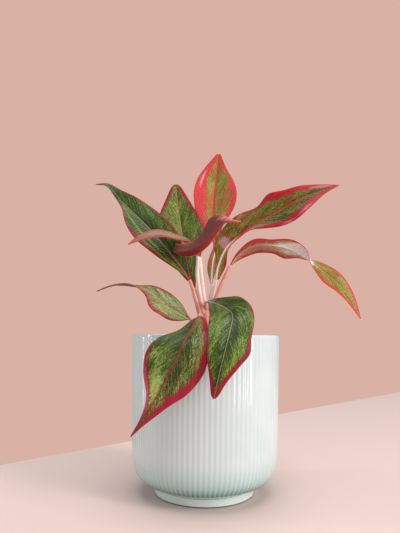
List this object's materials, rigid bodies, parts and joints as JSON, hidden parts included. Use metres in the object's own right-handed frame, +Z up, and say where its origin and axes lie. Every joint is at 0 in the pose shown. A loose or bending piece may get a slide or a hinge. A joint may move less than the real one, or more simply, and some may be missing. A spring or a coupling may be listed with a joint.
{
  "type": "potted chinese evergreen",
  "caption": "Small red-edged chinese evergreen with arching, twisted leaves, growing in a reeded glazed ceramic pot with a narrow foot.",
  "frame": {"origin": "centre of the pot's foot, on the surface that it stands on", "axes": "+Z up along the pot's axis, +X to the right and +Y to the back, seen from the side that the two hanging leaves face"},
  "size_m": [0.244, 0.1691, 0.3362],
  "materials": {
    "pot_glaze": "gloss",
    "soil": "matte",
    "stalk": "satin",
    "leaf_green": "satin",
    "leaf_red": "satin",
    "leaf_underside": "satin"
  },
  "bodies": {
    "root": {"pot": "pot_glaze", "soil": "soil", "stem_and_stalks": "stalk", "leaf_upper_left": "leaf_green", "leaf_upper_back": "leaf_green", "leaf_centre_red": "leaf_red", "leaf_rolled": "leaf_underside", "leaf_thin_left": "leaf_red", "leaf_right": "leaf_green", "leaf_right_drooping": "leaf_red", "leaf_lower_left": "leaf_green", "leaf_front_left": "leaf_green", "leaf_front_right": "leaf_green"}
  },
  "joints": []
}
